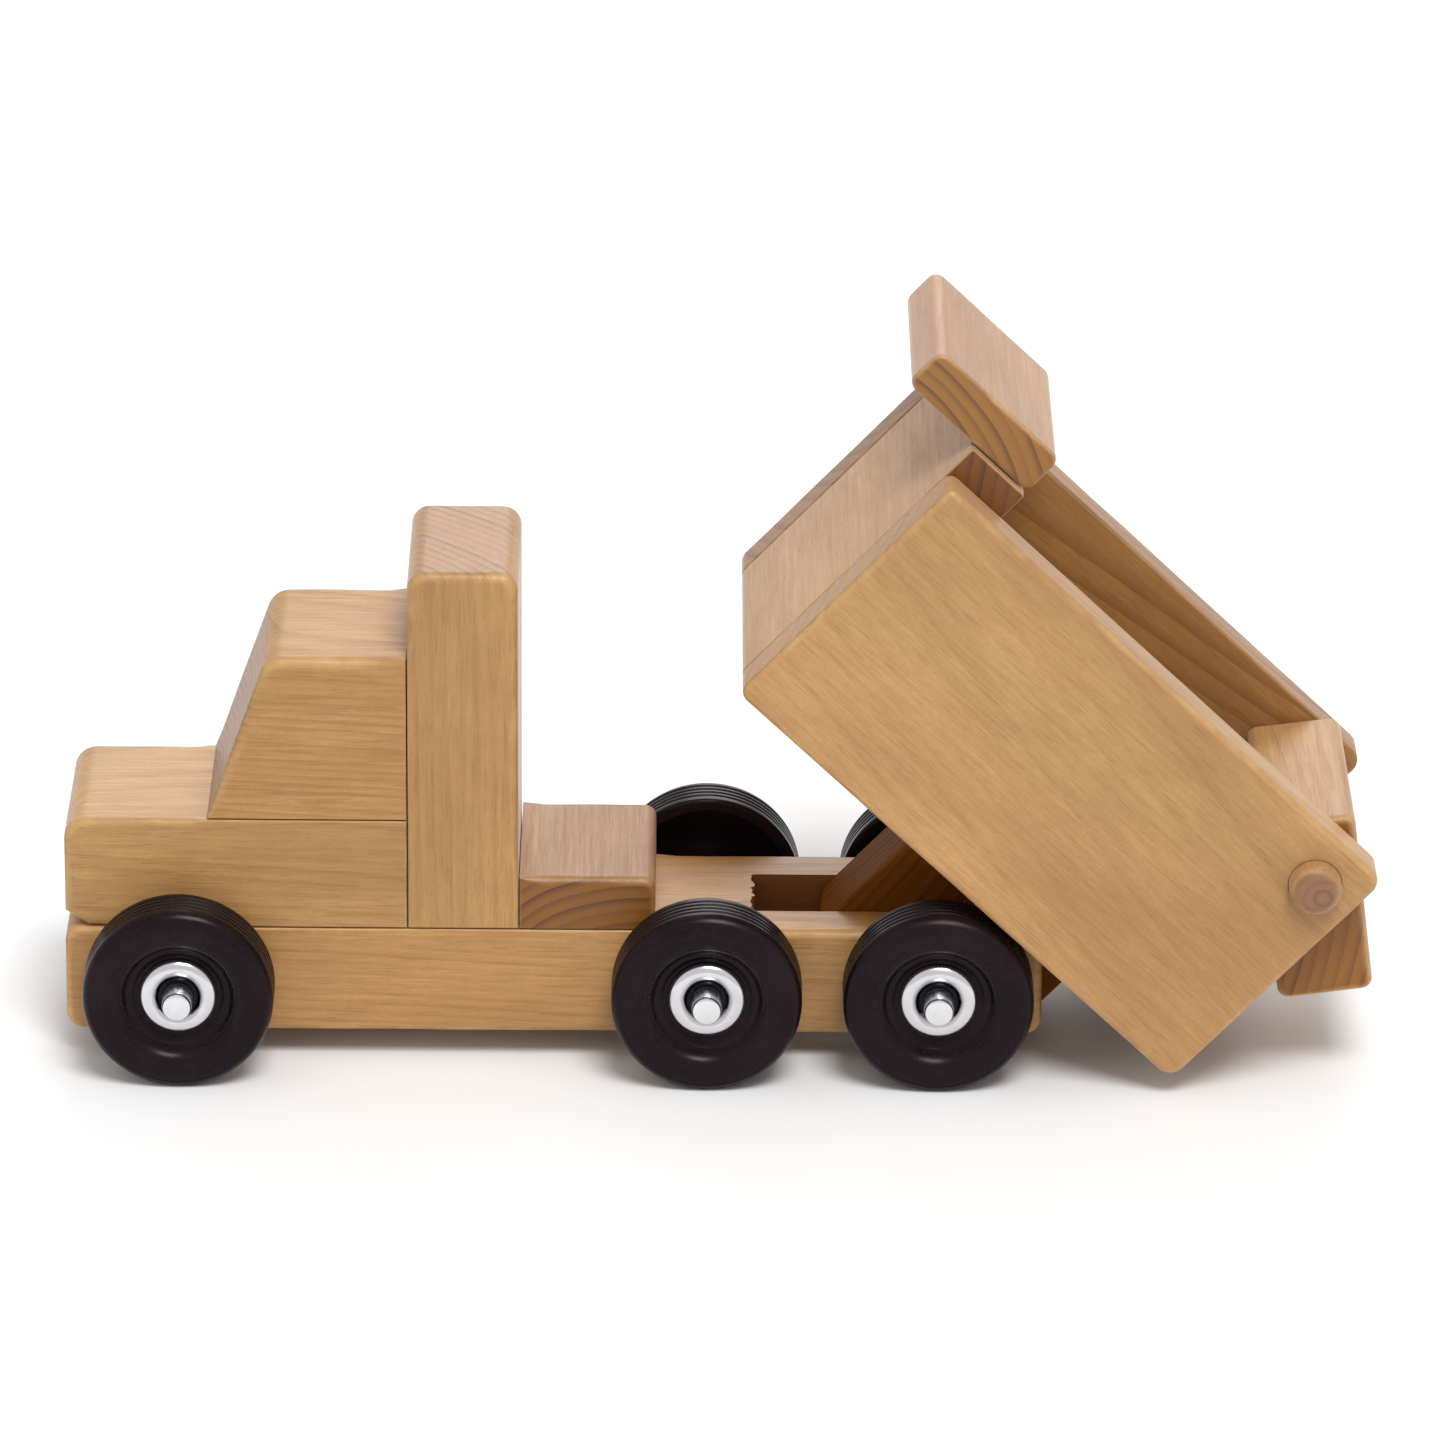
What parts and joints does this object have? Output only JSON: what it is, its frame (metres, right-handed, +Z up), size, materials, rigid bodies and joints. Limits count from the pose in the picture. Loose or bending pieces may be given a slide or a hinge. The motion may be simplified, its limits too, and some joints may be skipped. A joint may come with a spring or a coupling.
{
  "type": "toy dump truck",
  "caption": "Wooden toy dump truck with a block cab, a tipping bed hinged on the rear axle, a swinging tailgate and black wheels on steel axles.",
  "frame": {"origin": "on the ground, at the centre of the box that the truck fills with its bed raised", "axes": "+Z up, +X from the cab to the tailgate along the chassis, +Y towards the truck's right side, along the axles"},
  "size_m": [0.3488, 0.1086, 0.2045],
  "materials": {
    "wood": "satin stain, honey brown, with grain and darker end grain",
    "dark_wood": "satin stain, darker where end grain shows",
    "steel": "bright cut rod",
    "bright_steel": "bright zinc plate",
    "black_wheel": "satin black"
  },
  "bodies": {
    "chassis_body": {"chassis": "wood", "hood_block": "wood", "cab_block": "wood", "cab_back_panel": "wood", "deck_block": "wood", "screw_hood_front": "steel", "screw_hood_rear": "steel", "screw_panel_left": "steel", "screw_panel_right": "steel", "screw_deck_left": "steel", "screw_deck_right": "steel", "pin_cab_front": "dark_wood", "pin_cab_rear": "dark_wood"},
    "front_axle_body": {"front_axle": "steel", "axle_cap_front_left": "bright_steel", "axle_cap_front_right": "bright_steel", "washer_front_left": "steel", "washer_front_right": "steel"},
    "wheel_front_left_body": {"wheel_front_left": "black_wheel"},
    "wheel_front_right_body": {"wheel_front_right": "black_wheel"},
    "middle_axle_body": {"middle_axle": "steel", "axle_cap_middle_left": "bright_steel", "axle_cap_middle_right": "bright_steel", "washer_middle_left": "steel", "washer_middle_right": "steel"},
    "wheel_middle_left_body": {"wheel_middle_left": "black_wheel"},
    "wheel_middle_right_body": {"wheel_middle_right": "black_wheel"},
    "rear_axle_body": {"rear_axle": "steel", "axle_cap_rear_left": "bright_steel", "axle_cap_rear_right": "bright_steel", "washer_rear_left": "steel", "washer_rear_right": "steel"},
    "wheel_rear_left_body": {"wheel_rear_left": "black_wheel"},
    "wheel_rear_right_body": {"wheel_rear_right": "black_wheel"},
    "bed_body": {"bed_side_left": "wood", "bed_side_right": "wood", "bed_front_panel": "wood", "bed_floor": "wood", "bed_visor": "wood", "hinge_block": "wood", "screw_hinge_front": "steel", "screw_hinge_rear": "steel", "pin_visor_left": "dark_wood", "pin_visor_right": "dark_wood"},
    "tailgate_body": {"tailgate": "wood", "tailgate_dowel": "dark_wood"}
  },
  "joints": [
    {"name": "bed_tip", "type": "hinge", "parent": "chassis_body", "child": "bed_body", "pos_m": [0.05857, 0, 0.0254], "axis": [0, 1, 0], "range_deg": [-43.5, 0]},
    {"name": "tailgate_swing", "type": "hinge", "parent": "bed_body", "child": "tailgate_body", "pos_m": [0.15722, 0, 0.06203], "axis": [0, -1, 0], "range_deg": [-51, 129]},
    {"name": "front_axle_turn", "type": "hinge", "parent": "chassis_body", "child": "front_axle_body", "pos_m": [-0.14353, 0, 0.0254], "axis": [0, 1, 0], "continuous": true},
    {"name": "wheel_front_left_roll", "type": "hinge", "parent": "front_axle_body", "child": "wheel_front_left_body", "pos_m": [-0.14353, 0, 0.0254], "axis": [0, 1, 0], "continuous": true},
    {"name": "wheel_front_right_roll", "type": "hinge", "parent": "front_axle_body", "child": "wheel_front_right_body", "pos_m": [-0.14353, 0, 0.0254], "axis": [0, 1, 0], "continuous": true},
    {"name": "middle_axle_turn", "type": "hinge", "parent": "chassis_body", "child": "middle_axle_body", "pos_m": [-0.00303, 0, 0.0254], "axis": [0, 1, 0], "continuous": true},
    {"name": "wheel_middle_left_roll", "type": "hinge", "parent": "middle_axle_body", "child": "wheel_middle_left_body", "pos_m": [-0.00303, 0, 0.0254], "axis": [0, 1, 0], "continuous": true},
    {"name": "wheel_middle_right_roll", "type": "hinge", "parent": "middle_axle_body", "child": "wheel_middle_right_body", "pos_m": [-0.00303, 0, 0.0254], "axis": [0, 1, 0], "continuous": true},
    {"name": "rear_axle_turn", "type": "hinge", "parent": "chassis_body", "child": "rear_axle_body", "pos_m": [0.05857, 0, 0.0254], "axis": [0, 1, 0], "continuous": true},
    {"name": "wheel_rear_left_roll", "type": "hinge", "parent": "rear_axle_body", "child": "wheel_rear_left_body", "pos_m": [0.05857, 0, 0.0254], "axis": [0, 1, 0], "continuous": true},
    {"name": "wheel_rear_right_roll", "type": "hinge", "parent": "rear_axle_body", "child": "wheel_rear_right_body", "pos_m": [0.05857, 0, 0.0254], "axis": [0, 1, 0], "continuous": true}
  ]
}
